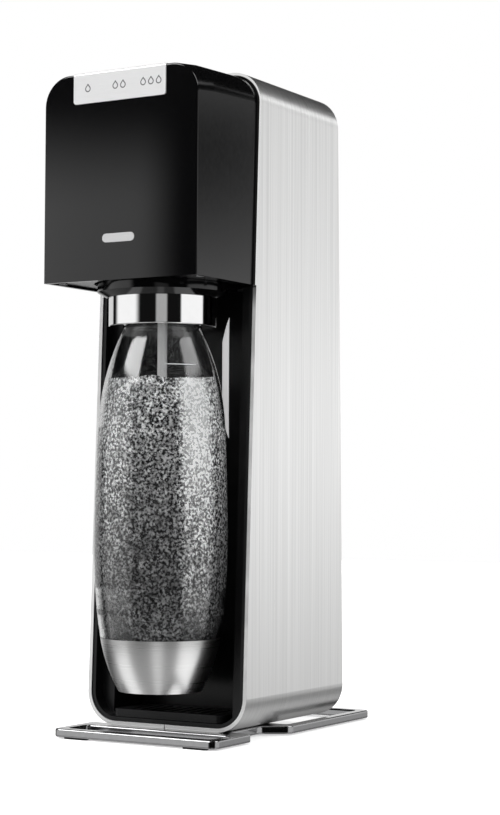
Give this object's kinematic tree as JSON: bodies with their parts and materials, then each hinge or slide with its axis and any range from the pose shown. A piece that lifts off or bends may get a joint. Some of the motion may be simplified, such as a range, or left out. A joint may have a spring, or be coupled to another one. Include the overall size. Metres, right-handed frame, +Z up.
{
  "type": "soda carbonator",
  "caption": "Upright electric drink carbonator: brushed sleeve on a flat frame, black head with press keys, tilting bottle carriage, clear bottle and hidden gas cylinder.",
  "frame": {"origin": "on the floor under the middle of the bounding box", "axes": "+Z up, the front with the bottle faces -Y, +X to the right seen from the front"},
  "size_m": [0.124, 0.229, 0.4348],
  "materials": {
    "polished_steel": "mirror polished",
    "brushed_steel": "brushed",
    "chrome": "bright",
    "fastener_steel": "satin",
    "black_gloss": "gloss",
    "black_satin": "satin",
    "silver_plate": "fine satin",
    "icon_grey": "printed",
    "rubber": "matte",
    "tube_grey": "satin",
    "clear_bottle": "clear",
    "circuit_board": "satin",
    "inner_plastic": "satin",
    "brass": "machined",
    "cylinder_paint": "satin",
    "hose": "satin",
    "motor_can": "satin"
  },
  "bodies": {
    "housing": {"base_frame": "polished_steel", "base_feet": "rubber", "base_screws": "fastener_steel", "sleeve": "brushed_steel", "bay_liner": "black_satin", "head_shell": "black_gloss", "head_underplate": "black_satin", "head_screws": "fastener_steel", "key_bezel": "silver_plate", "key_board": "circuit_board", "key_switches": "inner_plastic", "head_badge": "silver_plate", "control_board": "circuit_board", "pivot_bracket": "fastener_steel", "pivot_pins": "fastener_steel", "chassis": "inner_plastic", "cylinder_cradle": "inner_plastic", "gas_manifold": "brass", "manifold_seal": "rubber", "gas_hose": "hose", "hose_union": "brass", "lever_pin": "fastener_steel", "motor_bracket": "fastener_steel", "actuator_motor": "motor_can", "rear_frame": "black_satin", "cover_hinge_pins": "fastener_steel", "dc_inlet": "inner_plastic"},
    "carriage": {"carriage_turret": "black_gloss", "collar_ring": "chrome", "bottle_seal": "rubber", "neck_jaws": "inner_plastic", "carbonating_tube": "tube_grey", "nozzle_tip": "inner_plastic", "relief_valve": "brass"},
    "bottle": {"bottle_shell": "clear_bottle", "bottle_base_cup": "brushed_steel"},
    "first_key": {"key_one": "silver_plate", "icon_one": "icon_grey"},
    "second_key": {"key_two": "silver_plate", "icon_two": "icon_grey"},
    "third_key": {"key_three": "silver_plate", "icon_three": "icon_grey"},
    "cover": {"rear_cover": "black_satin"},
    "tray": {"drip_tray": "black_satin", "drip_grille": "black_satin"},
    "cylinder": {"gas_cylinder": "cylinder_paint", "cylinder_valve": "brass"},
    "stem": {"valve_stem": "fastener_steel"},
    "pin": {"push_pin": "fastener_steel"},
    "lever": {"press_lever": "inner_plastic"},
    "pinion": {"drive_pinion": "brass"}
  },
  "joints": [
    {"name": "carriage_tilt", "type": "hinge", "parent": "housing", "child": "carriage", "pos_m": [0, -0.036, 0.301], "axis": [-1, 0, 0], "range_deg": [0, 15]},
    {"name": "bottle_drop", "type": "slide", "parent": "carriage", "child": "bottle", "axis": [0, 0, -1], "range_m": [0, 0.012]},
    {"name": "first_key_press", "type": "slide", "parent": "housing", "child": "first_key", "axis": [0, 1, 0], "range_m": [0, 0.0008], "stiffness_N_per_m": 1500},
    {"name": "second_key_press", "type": "slide", "parent": "housing", "child": "second_key", "axis": [0, 1, 0], "range_m": [0, 0.0008], "stiffness_N_per_m": 1500},
    {"name": "third_key_press", "type": "slide", "parent": "housing", "child": "third_key", "axis": [0, 1, 0], "range_m": [0, 0.0008], "stiffness_N_per_m": 1500},
    {"name": "cover_swing", "type": "hinge", "parent": "housing", "child": "cover", "pos_m": [0, 0.07102, 0.03585], "axis": [-1, 0, 0], "range_deg": [0, 75]},
    {"name": "tray_slide", "type": "slide", "parent": "housing", "child": "tray", "axis": [0, -1, 0], "range_m": [0, 0.05]},
    {"name": "cylinder_turn", "type": "hinge", "parent": "housing", "child": "cylinder", "pos_m": [0, 0.026, 0.2], "axis": [0, 0, 1], "range_deg": [0, 720]},
    {"name": "pin_push", "type": "slide", "parent": "housing", "child": "pin", "axis": [0, 0, -1], "range_m": [0, 0.00198], "stiffness_N_per_m": 800},
    {"name": "stem_push", "type": "slide", "parent": "cylinder", "child": "stem", "axis": [0, 0, -1], "range_m": [-0.0002, 0.0023]},
    {"name": "lever_press", "type": "hinge", "parent": "housing", "child": "lever", "pos_m": [0, 0.014, 0.4029], "axis": [-1, 0, 0], "range_deg": [-1, 11]},
    {"name": "pinion_turn", "type": "hinge", "parent": "housing", "child": "pinion", "pos_m": [0, -0.0085, 0.4029], "axis": [-1, 0, 0], "range_deg": [-28, 2.5]}
  ],
  "couplings": [
    {"joint": "stem_push", "follows": "pin_push", "ratio": 1},
    {"joint": "lever_press", "follows": "pin_push", "rad_per_m": 83.333},
    {"joint": "pinion_turn", "follows": "pin_push", "rad_per_m": -216.67}
  ]
}
